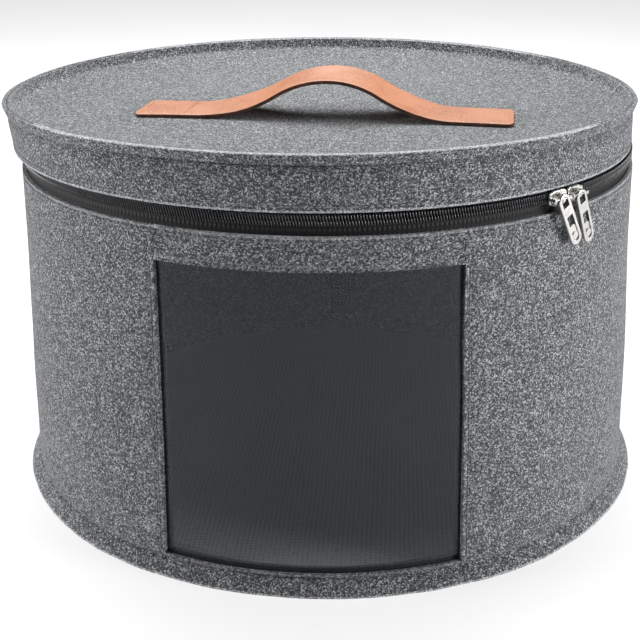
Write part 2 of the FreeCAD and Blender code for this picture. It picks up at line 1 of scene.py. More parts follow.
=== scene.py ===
# %% [markdown]
# A round hat box of grey felt. The engineering model gives every part's place and size, in metres,
# with the origin under the middle of the box, +Z up and the clear window facing -Y. This lesson
# loads that model as a fixed frame and makes a good-looking piece for each soft part: felt, tape,
# zip teeth, stitches, clear film and leather. The metal zip pulls are right already, so they stay.

# %% Load the frame
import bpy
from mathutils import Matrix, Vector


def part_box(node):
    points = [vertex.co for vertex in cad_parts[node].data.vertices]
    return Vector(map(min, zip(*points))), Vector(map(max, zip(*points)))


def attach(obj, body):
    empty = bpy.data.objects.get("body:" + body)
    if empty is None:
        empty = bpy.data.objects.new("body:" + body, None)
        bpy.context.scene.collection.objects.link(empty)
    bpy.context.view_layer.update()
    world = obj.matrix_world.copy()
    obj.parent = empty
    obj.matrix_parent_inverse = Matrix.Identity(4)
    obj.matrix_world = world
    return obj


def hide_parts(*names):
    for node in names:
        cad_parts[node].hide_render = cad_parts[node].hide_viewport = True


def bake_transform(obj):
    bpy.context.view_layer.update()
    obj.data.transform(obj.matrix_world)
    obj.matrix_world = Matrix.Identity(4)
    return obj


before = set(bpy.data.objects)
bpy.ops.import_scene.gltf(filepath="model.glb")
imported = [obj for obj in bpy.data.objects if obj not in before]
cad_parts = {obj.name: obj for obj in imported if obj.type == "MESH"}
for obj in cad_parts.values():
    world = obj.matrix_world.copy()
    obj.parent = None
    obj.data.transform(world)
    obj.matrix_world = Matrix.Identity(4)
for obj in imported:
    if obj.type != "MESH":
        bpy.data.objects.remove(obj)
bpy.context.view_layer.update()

# %% [markdown]
# Python's own maths, Blender's module, its mesh operators, and a smooth noise that gives the same
# answer on every run. Soft things are never perfect, and that noise is what bends them.

# %% Modules
import math

import bmesh
import bpy
from mathutils import Matrix, Vector, noise

MM = 0.001  # metres in a millimetre; meshes are drawn in millimetres and shrunk at the end

# %% [markdown]
# Every size comes from the frame, so the soft pieces fit the hard ones. A node's box gives its
# lowest and highest corner. The felt's thickness and a few stitch distances are the maker's own.

# %% Sizes read from the frame, in millimetres


def low(node):
    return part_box(node)[0] / MM


def high(node):
    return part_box(node)[1] / MM


WALL = -low("window_header").y          # outside radius of the wall
HEIGHT = high("window_header").z        # floor to the wall's top edge
WINDOW_TOP = low("window_header").z
SILL = high("window_sill").z
HALF_WINDOW = math.degrees(math.asin(high("window_header").x / WALL))
LID_OUT = high("lid_wall").x
LID_EDGE = low("lid_wall").z
LID_TOP = high("lid_wall").z
LID_SEAM = (low("lid_seam_thread").z + high("lid_seam_thread").z) / 2
BASE_OUT = high("body_wall").x
FELT = 2.5                              # felt thickness
THREAD = 0.45                           # thread radius
print(f"wall {WALL:.1f}, height {HEIGHT:.1f}, window half angle {HALF_WINDOW:.2f}")
print(f"lid from {LID_EDGE:.1f} to {LID_TOP:.1f}")

# %% [markdown]
# Colours are written as the hex values that a painter would pick on a screen. Blender's shaders
# work in linear light, so one function turns them. Another adds a node to a material, sets it up
# and joins its inputs. Three more send a pattern to the surface's colour, roughness or relief,
# which keeps each recipe below short enough to read in one go.

# %% Colour and node helpers


def linear(hex_colour):
    """A screen colour such as #7F8183 as linear red, green, blue and alpha."""
    parts = [int(hex_colour[i:i + 2], 16) / 255 for i in (1, 3, 5)]
    return (*[p / 12.92 if p <= 0.04045 else ((p + 0.055) / 1.055) ** 2.4 for p in parts], 1.0)


def add(tree, kind, inputs=None, **settings):
    """Adds a node, sets its properties, and feeds its inputs from values or from other sockets."""
    made = tree.nodes.new(kind)
    for name, value in settings.items():
        setattr(made, name, value)
    for name, value in (inputs or {}).items():
        if isinstance(value, bpy.types.NodeSocket):
            tree.links.new(value, made.inputs[name])
        else:
            made.inputs[name].default_value = value
    return made


def start_material(name, surface):
    """A new material with these plain values on its shader, and its node tree and shader."""
    made = bpy.data.materials.new(name)
    made.use_nodes = True
    shader = made.node_tree.nodes["Principled BSDF"]
    for socket, value in surface.items():
        shader.inputs[socket].default_value = value
    return made, made.node_tree, shader


def paint(tree, shader, factor, *stops):
    """Colours the surface by a pattern, through (position, hex colour) stops."""
    made = add(tree, "ShaderNodeValToRGB", {"Fac": factor})
    band = made.color_ramp.elements
    while len(band) < len(stops):
        band.new(0.5)
    for element, (place, colour) in zip(band, stops):
        element.position = place
        element.color = linear(colour)
    tree.links.new(made.outputs["Color"], shader.inputs["Base Color"])


def wear(tree, shader, factor, least, most):
    """Lets the roughness wander from least to most with a pattern."""
    made = add(tree, "ShaderNodeMapRange", {"Value": factor, "To Min": least, "To Max": most})
    tree.links.new(made.outputs[0], shader.inputs["Roughness"])


def roughen(tree, shader, height, distance):
    """Raises the surface by a pattern; distance is in millimetres."""
    bump = add(tree, "ShaderNodeBump", {"Height": height, "Distance": distance * MM})
    tree.links.new(bump.outputs["Normal"], shader.inputs["Normal"])


def per_metre(size_mm):
    """The scale that makes a pattern repeat about every size_mm."""
    return 1 / (size_mm * MM)


# %% [markdown]
# Polyester felt is thousands of cut fibres, some nearly white and some nearly black, pressed into
# a sheet. From a step away they read as pale flecks under a millimetre long on a dark ground. Voronoi
# cells give each fleck a random grey; a noise pushed into the coordinates first makes their outlines
# ragged, and a slower noise gathers them into faint clouds. Fibres lie loose on top, which is what
# sheen is for. A cut edge shows fibre ends, and its paler felt is also a painted highlight along
# the edge.

# %% Felt
FLECK = 0.7             # size of a fleck, and how far its outline wanders, in millimetres
CLOUDING = 0.35         # how much of a point's grey the slow clouds decide


def felt_material(name, greys, bump_mm=0.5):
    made, tree, shader = start_material(name, {
        "Roughness": 0.95, "Specular IOR Level": 0.15,
        "Sheen Weight": 0.12, "Sheen Roughness": 0.6, "Sheen Tint": linear("#D8DADC")})
    place = add(tree, "ShaderNodeTexCoord").outputs["Object"]
    ragged = add(tree, "ShaderNodeTexNoise", {"Vector": place, "Scale": per_metre(1.1), "Detail": 2.0})
    centred = add(tree, "ShaderNodeVectorMath", {0: ragged.outputs["Color"], 1: (0.5, 0.5, 0.5)},
                  operation="SUBTRACT")
    push = add(tree, "ShaderNodeVectorMath", {0: centred.outputs[0], "Scale": FLECK * MM}, operation="SCALE")
    moved = add(tree, "ShaderNodeVectorMath", {0: place, 1: push.outputs[0]}, operation="ADD")
    fleck = add(tree, "ShaderNodeTexVoronoi", {"Vector": moved.outputs[0], "Scale": per_metre(FLECK)})
    shade = add(tree, "ShaderNodeSeparateColor", {"Color": fleck.outputs["Color"]})
    cloud = add(tree, "ShaderNodeTexNoise", {
        "Vector": place, "Scale": per_metre(5), "Detail": 5.0, "Roughness": 0.7})
    drift = add(tree, "ShaderNodeMath", {0: cloud.outputs["Fac"], 1: CLOUDING}, operation="MULTIPLY")
    spread = add(tree, "ShaderNodeMath", {0: shade.outputs["Red"], 1: drift.outputs[0]}, operation="ADD")
    level = add(tree, "ShaderNodeMapRange", {"Value": spread.outputs[0], "From Min": 0.1, "From Max": 1.25})
    paint(tree, shader, level.outputs[0], *greys)
    nap = add(tree, "ShaderNodeTexNoise", {
        "Vector": moved.outputs[0], "Scale": per_metre(1.6), "Detail": 3.0})
    roughen(tree, shader, nap.outputs["Fac"], bump_mm)
    return made


FELT_GREY = felt_material("grey polyester felt", (
    (0.0, "#1B1D1F"), (0.35, "#393A3C"), (0.6, "#545557"), (0.8, "#7F8183"), (1.0, "#B4B6B9")))
# The paler felt on cut edges is partly their fibre ends and partly a painted highlight along the edges.
FELT_CUT_HIGHLIGHT = felt_material("cut edge of grey felt with painted highlight", (
    (0.0, "#505255"), (0.45, "#7E8083"), (1.0, "#BFC1C3")), 0.8)
print("felt:", len(FELT_GREY.node_tree.nodes), "nodes")

# %% [markdown]
# Zip tape and binding are woven black polyester: fine ribs across the length. Real ribs are about
# half a millimetre apart, too fine to show here, so a rib and the gap beside it are each drawn
# about one and a half millimetres wide. A UV map laid out in real metres along and across the tape
# carries the weave round the box.

# %% Black woven tapes


def tape_material(name, body, thread, rib_mm, bump_mm=0.4):
    made, tree, shader = start_material(name, {
        "Roughness": 0.7, "Specular IOR Level": 0.25,
        "Sheen Weight": 0.03, "Sheen Roughness": 0.4, "Sheen Tint": linear("#8A8C90")})
    laid = add(tree, "ShaderNodeUVMap").outputs["UV"]
    # A wave texture repeats every pi / 10 of its scaled coordinate, and a repeat is a rib and a gap.
    across = add(tree, "ShaderNodeTexWave", {
        "Vector": laid, "Scale": per_metre(rib_mm) / 20 * math.pi, "Distortion": 0.6, "Detail": 1.0},
        wave_type="BANDS", bands_direction="X")
    along = add(tree, "ShaderNodeTexWave", {
        "Vector": laid, "Scale": per_metre(rib_mm * 1.5) / 20 * math.pi, "Distortion": 0.4},
        wave_type="BANDS", bands_direction="Y")
    weave = add(tree, "ShaderNodeMath", {0: across.outputs["Fac"], 1: along.outputs["Fac"]},
                operation="MULTIPLY")
    lint = add(tree, "ShaderNodeTexNoise", {"Vector": laid, "Scale": per_metre(6), "Detail": 5.0})
    worn = add(tree, "ShaderNodeMath", {0: weave.outputs[0], 1: lint.outputs["Fac"]}, operation="MULTIPLY")
    paint(tree, shader, worn.outputs[0], (0.0, body), (0.7, thread))
    roughen(tree, shader, weave.outputs[0], bump_mm)
    return made


ZIP_TAPE = tape_material("black woven zip tape", "#08080A", "#1B1C1F", 1.4)
BINDING = tape_material("black grosgrain binding", "#0B0B0C", "#26272A", 1.6)

# %% [markdown]
# The zip's teeth are one nylon wire bent into a coil, so they are smooth and a little shiny. The
# thread is spun polyester, matt, with a twist that shows as fine bands. A slow noise on the
# roughness keeps the nylon from looking like glass.

# %% Nylon and thread
NYLON, tree, shader = start_material("black nylon coil", {"Specular IOR Level": 0.5, "IOR": 1.53})
place = add(tree, "ShaderNodeTexCoord").outputs["Object"]
rub = add(tree, "ShaderNodeTexNoise", {"Vector": place, "Scale": per_metre(4), "Detail": 3.0})
wear(tree, shader, rub.outputs["Fac"], 0.2, 0.42)
paint(tree, shader, rub.outputs["Fac"], (0.3, "#0D0E10"), (0.75, "#232529"))


def thread_material(name, dark, light):
    made, tree, shader = start_material(name, {"Roughness": 0.7, "Sheen Weight": 0.2, "Sheen Roughness": 0.5})
    place = add(tree, "ShaderNodeTexCoord").outputs["Object"]
    twist = add(tree, "ShaderNodeTexNoise", {"Vector": place, "Scale": per_metre(0.8), "Detail": 2.0})
    paint(tree, shader, twist.outputs["Fac"], (0.35, dark), (0.65, light))
    roughen(tree, shader, twist.outputs["Fac"], 0.15)
    return made


THREAD_GREY = thread_material("grey polyester thread", "#4B4D50", "#85878A")
THREAD_TAN = thread_material("tan polyester thread", "#A8663C", "#D49466")

# %% [markdown]
# Vegetable-tanned leather for the handle: a pale tan grain side with fine pores and faint creases,
# and edges painted dark brown. Voronoi distances make the pebbled grain at about a millimetre, and
# a stretched noise adds the clouding of the dye.

# %% Leather
LEATHER, tree, shader = start_material("tan leather grain", {
    "Roughness": 0.48, "Specular IOR Level": 0.4, "Coat Weight": 0.06, "Coat Roughness": 0.35})
place = add(tree, "ShaderNodeTexCoord").outputs["Object"]
pore = add(tree, "ShaderNodeTexVoronoi", {"Vector": place, "Scale": per_metre(1.1)}, feature="SMOOTH_F1")
dye = add(tree, "ShaderNodeTexNoise", {
    "Vector": place, "Scale": per_metre(22), "Detail": 6.0, "Roughness": 0.6})
tone = add(tree, "ShaderNodeMath", {0: dye.outputs["Fac"], 1: pore.outputs["Distance"]}, operation="ADD")
paint(tree, shader, tone.outputs[0], (0.45, "#7C482F"), (0.8, "#955E3F"), (1.0, "#A46F51"))
roughen(tree, shader, pore.outputs["Distance"], 0.12)

EDGE_PAINT, tree, shader = start_material("brown edge paint", {"Roughness": 0.4, "Specular IOR Level": 0.5})
place = add(tree, "ShaderNodeTexCoord").outputs["Object"]
streak = add(tree, "ShaderNodeTexNoise", {"Vector": place, "Scale": per_metre(5), "Detail": 4.0})
paint(tree, shader, streak.outputs["Fac"], (0.3, "#24100A"), (0.75, "#55301C"))
roughen(tree, shader, streak.outputs["Fac"], 0.2)

# %% [markdown]
# Zinc alloy, cast, tumbled and nickel plated: a bright metal whose edges are soft and whose plating
# has faint ripples. A metal's colour is its reflection, so the base colour is a light grey and
# the default IOR stays. Roughness wanders a little where fingers have dulled it.

# %% Nickel plate
NICKEL, tree, shader = start_material("nickel plated zinc", {
    "Base Color": linear("#B4B2AE"), "Metallic": 1.0})
place = add(tree, "ShaderNodeTexCoord").outputs["Object"]
dull = add(tree, "ShaderNodeTexNoise", {"Vector": place, "Scale": per_metre(3), "Detail": 4.0})
wear(tree, shader, dull.outputs["Fac"], 0.16, 0.4)
roughen(tree, shader, dull.outputs["Fac"], 0.08)

# %% [markdown]
# The window is clear PVC sheet. Treating it as mostly see-through, rather than as refracting glass,
# lets the studio light reach the inside of the box, as it does through a thin film. What is left is
# a faint grey, a glossy skin, and shallow ripples from being rolled.

# %% Clear film
FILM, tree, shader = start_material("clear PVC sheet", {
    "Base Color": linear("#3A4044"), "Alpha": 0.14, "IOR": 1.53, "Specular IOR Level": 1.0,
    "Coat Weight": 0.3, "Coat Roughness": 0.03})
place = add(tree, "ShaderNodeTexCoord").outputs["Object"]
ripple = add(tree, "ShaderNodeTexNoise", {"Vector": place, "Scale": per_metre(45), "Detail": 2.0})
wear(tree, shader, ripple.outputs["Fac"], 0.02, 0.12)
roughen(tree, shader, ripple.outputs["Fac"], 2.0)

# %% [markdown]
# Inside, a dark non-woven cloth lies on a grey board. Non-woven cloth is fibre sheet welded in a
# grid of little dimples about three millimetres apart, which a Voronoi pattern with little
# randomness gives. The board is recycled paper: grey-brown with flecks.

# %% Lining cloth and board
LINING, tree, shader = start_material("charcoal non-woven cloth", {"Roughness": 0.85, "Sheen Weight": 0.1})
place = add(tree, "ShaderNodeTexCoord").outputs["Object"]
weld = add(tree, "ShaderNodeTexVoronoi", {"Vector": place, "Scale": per_metre(3), "Randomness": 0.15})
haze = add(tree, "ShaderNodeTexNoise", {"Vector": place, "Scale": per_metre(1.5), "Detail": 3.0})
mixed = add(tree, "ShaderNodeMath", {0: weld.outputs["Distance"], 1: haze.outputs["Fac"]}, operation="ADD")
paint(tree, shader, mixed.outputs[0], (0.45, "#454650"), (1.0, "#85868F"))
roughen(tree, shader, weld.outputs["Distance"], 0.3)

BOARD, tree, shader = start_material("grey paperboard", {"Roughness": 0.9})
place = add(tree, "ShaderNodeTexCoord").outputs["Object"]
pulp = add(tree, "ShaderNodeTexNoise", {"Vector": place, "Scale": per_metre(2), "Detail": 6.0})
paint(tree, shader, pulp.outputs["Fac"], (0.3, "#77726A"), (0.7, "#A39D92"))
roughen(tree, shader, pulp.outputs["Fac"], 0.2)
print("materials:", ", ".join(m.name for m in bpy.data.materials if m.use_nodes))

# %% [markdown]
# Almost every piece here goes round the box: it is one flat outline, drawn as radius and height,
# and spun about the upright axis. A closed ring is spun from the outline's edges only. A shorter
# arc is spun from the outline's face, which leaves a cap at both ends. Azimuth is measured from the
# window, positive towards +X, and the first outline stands at azimuth 90.

# %% Spin an outline round the box
FINE_STEPS = 8          # steps over the fine stretch at each end of an arc


def outline(points):
    """A flat face in the XZ plane through (radius, height) points."""
    bm = bmesh.new()
    bm.faces.new([bm.verts.new((radius, 0, height)) for radius, height in points])
    return bm


def divide(bm, longest):
    """Cuts every edge longer than longest into equal runs."""
    for edge in bm.edges[:]:
        cuts = math.ceil(edge.calc_length() / longest) - 1
        if cuts > 0:
            bmesh.ops.subdivide_edges(bm, edges=[edge], cuts=cuts)


def everything(bm):
    return bm.verts[:] + bm.edges[:] + bm.faces[:]


def tilt(degrees, axis):
    """The matrix of a turn about an axis through the origin."""
    return Matrix.Rotation(math.radians(degrees), 3, axis)


def turn(bm, degrees):
    """Turns the whole mesh about the box's upright axis."""
    bmesh.ops.rotate(bm, verts=bm.verts[:], cent=(0, 0, 0), matrix=tilt(degrees, "Z"))


def spin(bm, geometry, degrees, steps, merge=False, copies=False):
    """Sweeps geometry round the axis, or lays copies of it, and returns its last stand."""
    return bmesh.ops.spin(
        bm, geom=geometry, cent=(0, 0, 0), axis=(0, 0, 1), dvec=(0, 0, 0), angle=math.radians(degrees),
        steps=steps, use_merge=merge, use_normal_flip=False, use_duplicate=copies)["geom_last"]


def ring(points, steps=240, longest=9):
    """A closed ring. An outline that reaches the axis closes to a disc."""
    bm = outline(points)
    divide(bm, longest)
    bmesh.ops.delete(bm, geom=bm.faces[:], context="FACES_ONLY")
    on_axis = [e for e in bm.edges if all(abs(v.co.x) < 0.001 for v in e.verts)]
    bmesh.ops.delete(bm, geom=on_axis, context="EDGES")
    spin(bm, bm.verts[:] + bm.edges[:], 360, steps, merge=True)
    bmesh.ops.remove_doubles(bm, verts=bm.verts[:], dist=0.001)
    bmesh.ops.recalc_face_normals(bm, faces=bm.faces[:])
    return bm


def arc(points, start, sweep, step=1.5, longest=9, fine=0):
    """Part of a ring, from azimuth start through sweep degrees, with smaller steps over the last
    fine degrees at each end."""
    bm = outline(points)
    divide(bm, longest)
    turn(bm, start - 90)
    runs = [(fine, FINE_STEPS), (sweep - 2 * fine, math.ceil((sweep - 2 * fine) / step)), (fine, FINE_STEPS)]
    last = everything(bm)
    for degrees, steps in runs:
        if degrees > 0:
            last = spin(bm, last, degrees, steps)
    bmesh.ops.recalc_face_normals(bm, faces=bm.faces[:])
    return bm


def bevel(bm, edges, width, segments):
    bmesh.ops.bevel(bm, geom=edges, offset=width, offset_type="OFFSET", segments=segments, profile=0.5,
                    affect="EDGES", material=-1, clamp_overlap=True)


def soften(bm, width, segments=2, sharp=40):
    """Rounds every edge that is sharper than sharp degrees."""
    edges = [e for e in bm.edges if len(e.link_faces) == 2 and e.calc_face_angle() > math.radians(sharp)]
    bevel(bm, edges, width, segments)


# %% [markdown]
# Real felt boxes are not true cylinders. This wall spreads by three to four millimetres towards its
# foot, the foot stands a little to one side, and the wall swells and dips slowly round its height.
# The lid has slipped the other way, its rim droops at its two sides, its fin leans out, and its top
# sags. Moving every fabric point by one shared function keeps neighbouring pieces together. Near
# the zip nothing moves, because the metal sliders have to stay on their chain.

# %% How the felt settles
FOOT_SPREAD = 3.6       # how far the wall's foot stands out, in millimetres
UNEVEN = 1.1            # swell of the wall between its seams
LID_SLIP = 5.0          # how far the lid's top sits towards -X
LID_PULL = 2.0          # how far the zip draws the lid's wall in
LID_FLARE = 0.8         # how much wider the lid's wall is at its top than at its hem
FIN_LEAN = 2.4          # how far the lid's seam fin leans out
LID_SAG = 1.6           # deepest sag of the lid's top
LID_DROOP = 3.3         # how far the lid's rim droops at its sides
FOOT_SHIFT = 1.4        # how far the foot stands towards +X
DIP = 0.5               # how deep a row of stitches presses into felt
RIPPLE = 0.5            # small waves along an edge, at the foot and at the lid's fin
BODY_STILL = 185        # pieces of the body nearer the axis than this stay where they are
LID_STILL = 195         # and the lid's inside this radius aren't drawn in or leant out
ZIP_CLEAR = 12          # stretch below the wall's top edge that stays true


def cylindrical(point):
    """Radius, azimuth in degrees, and height."""
    return math.hypot(point.x, point.y), math.degrees(math.atan2(point.x, -point.y)), point.z


def smooth(share):
    """A share from 0 to 1 with its start and end eased; outside them it stays at 0 or 1."""
    share = min(1.0, max(0.0, share))
    return share * share * (3 - 2 * share)


def settle_body(bm, vertical_rows=()):
    """Moves a body piece's points outwards or inwards, and presses a dent along upright stitch rows."""
    for vert in bm.verts:
        radius, azimuth, height = cylindrical(vert.co)
        if radius < 1:
            continue
        free = smooth((radius - BODY_STILL) / 20)
        near_foot = smooth(1 - height / HEIGHT) * free
        swell = UNEVEN * noise.noise(Vector((vert.co.x / 70, vert.co.y / 70, height / 60 + 3)))
        waves = RIPPLE * noise.noise(Vector((vert.co.x / 16, vert.co.y / 16, 9))) * smooth(1 - height / 14)
        move = FOOT_SPREAD * near_foot + (swell * smooth((HEIGHT - ZIP_CLEAR - height) / 60) + waves) * free
        for row in vertical_rows:
            if radius > WALL - 0.6:
                gap = (azimuth - row) * math.radians(1) * WALL
                move -= DIP * math.exp(-(gap / 1.1) ** 2)
        vert.co.x = vert.co.x * (radius + move) / radius + FOOT_SHIFT * near_foot
        vert.co.y *= (radius + move) / radius


def settle_lid(bm, bottom=LID_EDGE - 1, run=0.5, slip=1.0):
    """Slips the lid sideways from height bottom up, draws its wall in, leans its fin out and lets
    its top sag. The slip grows to its full size over run millimetres."""
    for vert in bm.verts:
        radius, azimuth, height = cylindrical(vert.co)
        held = smooth((height - bottom) / run)
        wave = RIPPLE * noise.noise(Vector((vert.co.x / 45, vert.co.y / 45, height / 30 + 7)))
        fin = smooth((height - LID_SEAM + 1) / (LID_TOP - LID_SEAM))
        lean = wave * smooth((height - LID_EDGE - 4) / 10) + FIN_LEAN * fin
        flare = LID_FLARE * smooth((height - LID_EDGE) / 24)
        move = (held * (lean - LID_PULL) + flare) * smooth((radius - LID_STILL) / 10)
        uneven = 0.5 + 0.5 * noise.noise(Vector((vert.co.x / 55, vert.co.y / 55, 2)))
        sag = LID_SAG * uneven * smooth((LID_STILL - 3 - radius) / 50)
        if radius > 1:
            vert.co.x *= (radius + move) / radius
            vert.co.y *= (radius + move) / radius
        vert.co.x -= LID_SLIP * slip * held * (0.65 + 0.35 * smooth((height - LID_EDGE) / 30))
        vert.co.z -= sag + LID_DROOP * abs(vert.co.x / LID_OUT) ** 3 * smooth((height - LID_EDGE) / 25)


# %% [markdown]
# A finished mesh gets a UV map in real metres, u along the band and v up it, and smooth shading.
# Then it is shrunk from millimetres to metres and set to ride on the body it moves with, and the
# engineering parts it stands for are hidden.

# %% Hand a finished piece over


def unwrap(bm, centre=0):
    """UVs in metres: u round the box from azimuth centre, v up the piece and outwards."""
    layer = bm.loops.layers.uv.new("UVMap")
    for face in bm.faces:
        middle = math.radians(cylindrical(face.calc_center_median())[1])
        for loop in face.loops:
            radius, azimuth, height = cylindrical(loop.vert.co)
            turn_by = math.radians(azimuth) - middle
            turn_by -= math.tau * round(turn_by / math.tau)
            from_centre = middle - math.radians(centre)
            from_centre -= math.tau * round(from_centre / math.tau)
            loop[layer].uv = ((from_centre + turn_by) * WALL * MM, (height + radius - WALL) * MM)


def hand_over(bm, name, materials, finish, body, *nodes, centre=0):
    """Turns the mesh into an object that rides on body and replaces nodes; body None leaves it loose."""
    unwrap(bm, centre)
    bmesh.ops.scale(bm, vec=(MM, MM, MM), verts=bm.verts[:])
    mesh = bpy.data.meshes.new(name)
    bm.to_mesh(mesh)
    bm.free()
    for material in materials:
        mesh.materials.append(material)
    mesh.shade_smooth()
    made = bpy.data.objects.new(name, mesh)
    bpy.context.scene.collection.objects.link(made)
    if body:
        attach(made, body)
    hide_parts(*nodes)
    print(f"{name}: {len(mesh.vertices)} points, {len(mesh.polygons)} faces")
    return made


def show_cut_edge_highlights(bm, *heights, reach=1.6):
    """Gives the faces within reach of the heights of the felt's cut edges the second material, a paler felt
    that is partly a painted highlight along them.
    """
    for face in bm.faces:
        middle = face.calc_center_median().z
        face.material_index = int(min(abs(middle - height) for height in heights) < reach)


# %% [markdown]
# The wall is one strip of felt that wraps from one side of the window round the back to the other.
# Its foot flares out below the seam with the base, which is a sharp crease, and a shallow dip runs
# where the hem's stitches pull it in. The outline holds the crease and the dip, and the fine steps
# near the window let the upright rows dent the wall too.

# %% Felt wall
HEM_ROW = (low("body_hem_thread").z + high("body_hem_thread").z) / 2
BASE_ROW = (low("base_seam_thread").z + high("base_seam_thread").z) / 2
DIP_REACH = 2.0     # how far either side of a row the dip starts
# The pale line along a cut edge is partly a painted highlight.
CUT_HIGHLIGHT = 1.5           # width of the pale line along a cut edge


def dip(radius, height, inwards=DIP):
    """Outline points of a stitch dip, from above it to below it."""
    return [(radius, height + DIP_REACH), (radius - inwards, height), (radius, height - DIP_REACH)]


FOOT_CREASE = 1.5   # how deep the seam at the foot cuts in
FOOT = [(WALL, BASE_ROW + 4), (WALL - 0.2, BASE_ROW + 0.7),
        (WALL - FOOT_CREASE, BASE_ROW + 0.1), (WALL - FOOT_CREASE, BASE_ROW - 0.3),
        (WALL + 0.4, BASE_ROW - 0.9), (WALL + 1.6, BASE_ROW - 3), (BASE_OUT - 0.4, 1.2), (BASE_OUT, 0)]
INSIDE_FOOT = [(BASE_OUT - FELT - 0.8, 0), (WALL - FELT + 1.2, BASE_ROW - 3), (WALL - FELT, BASE_ROW)]
UPRIGHT_ROWS = [math.degrees(math.atan2(c.x, -c.y)) for c in
                ((low(f"window_thread_{s}") + high(f"window_thread_{s}")) / 2 for s in ("left", "right"))]
wall = arc([(WALL, HEIGHT), (WALL, HEIGHT - CUT_HIGHLIGHT), *dip(WALL, HEM_ROW), *FOOT, *INSIDE_FOOT,
            (WALL - FELT, HEIGHT)], HALF_WINDOW, 360 - 2 * HALF_WINDOW, fine=2)
soften(wall, 0.7, sharp=85)
settle_body(wall, UPRIGHT_ROWS)
show_cut_edge_highlights(wall, 0, HEIGHT)
hand_over(wall, "felt_wall", [FELT_GREY, FELT_CUT_HIGHLIGHT], "felt_grey", "box", "body_wall")

# %% [markdown]
# Above the window a header strip joins the wall's two ends, and a sill closes the gap below. They
# are separate strips on the real box, so a fine groove shows at both ends of each: the rounded caps
# of two pieces standing edge to edge make it.

# %% Header and sill
WINDOW_ROW_TOP = (low("window_thread_top").z + high("window_thread_top").z) / 2
WINDOW_ROW_LOW = (low("window_thread_bottom").z + high("window_thread_bottom").z) / 2
header = arc([(WALL, HEIGHT), (WALL, HEIGHT - CUT_HIGHLIGHT), *dip(WALL, HEM_ROW), *dip(WALL, WINDOW_ROW_TOP, 0.35),
              (WALL, WINDOW_TOP), (WALL - FELT, WINDOW_TOP), (WALL - FELT, HEIGHT)],
             -HALF_WINDOW, 2 * HALF_WINDOW)
soften(header, 0.7)
settle_body(header)
show_cut_edge_highlights(header, HEIGHT)
hand_over(header, "felt_header", [FELT_GREY, FELT_CUT_HIGHLIGHT], "felt_grey", "box", "window_header")

sill = arc([(WALL, SILL), *FOOT[1:], *INSIDE_FOOT, (WALL - FELT, SILL)],
           -HALF_WINDOW, 2 * HALF_WINDOW)
soften(sill, 0.6, sharp=85)
settle_body(sill)
show_cut_edge_highlights(sill, 0)
hand_over(sill, "felt_sill", [FELT_GREY, FELT_CUT_HIGHLIGHT], "felt_grey", "box", "window_sill")

# %% [markdown]
# The base is a disc of the same felt whose rim is folded up inside the wall and sewn to it. Seen
# from below, the fold stands a few millimetres in from the fin. It could be a flat disc, but the
# upturned rim is what makes the double edge at the box's foot.

# %% Felt base
RIM_TOP = high("base_panel").z
BASE_FLAT = 199             # radius of the flat part that the box stands on
FOLD = 203.5                # radius of the hollow between it and the fin
base = ring([(0, 0), (BASE_FLAT, 0), (FOLD, BASE_ROW * 0.55), (BASE_OUT - 2 * FELT - 1.4, 0),
             (BASE_OUT - FELT - 1.2, 0), (WALL - FELT - 0.3, RIM_TOP), (WALL - FELT - 5, RIM_TOP),
             (BASE_FLAT - 1.5, FELT), (0, FELT)])
soften(base, 0.4)
settle_body(base)
show_cut_edge_highlights(base, RIM_TOP)
hand_over(base, "felt_base", [FELT_GREY, FELT_CUT_HIGHLIGHT], "felt_grey", "box", "base_panel")

# %% [markdown]
# The lining is a thin disc of cloth laid over the board, drawn at its cut size. A few slow waves
# lift it by a fraction of a millimetre.

# %% Lining
LINING_OUT = high("base_lining").x
LINING_LIFT = 0.5           # how far the waves lift the cloth off the board on average
lining = ring([(0, low("base_lining").z), (LINING_OUT, low("base_lining").z),
               (LINING_OUT, high("base_lining").z), (0, high("base_lining").z)], steps=120)
for vert in lining.verts:
    vert.co.z += LINING_LIFT + 0.45 * noise.noise(vert.co / 35)
cloth = hand_over(lining, "lining_cloth", [LINING], "lining", "box", "base_lining")

# %% [markdown]
# A narrow tape covers the join of the wall's lining side at the back, inside. It is a simple arc
# of woven tape with rounded edges.

# %% Back seam tape
seam_low, seam_high = low("back_seam_tape").z, high("back_seam_tape").z
seam_tape = arc([(WALL - FELT - 0.9, seam_low), (WALL - FELT - 0.1, seam_low),
                 (WALL - FELT - 0.1, seam_high), (WALL - FELT - 0.9, seam_high)], 180 - 3, 6, step=1)
soften(seam_tape, 0.25)
settle_body(seam_tape)
hand_over(seam_tape, "back_tape", [BINDING], "black_tape", "box", "back_seam_tape", centre=180)

# %% [markdown]
# The window: a clear sheet behind the opening, held by black binding that shows a few millimetres
# inside it; that black strip is also painted shade along the opening's edges. The sheet is spun in
# small steps so that it can ripple. The ripple dies out near the binding, because there it is sewn
# flat.

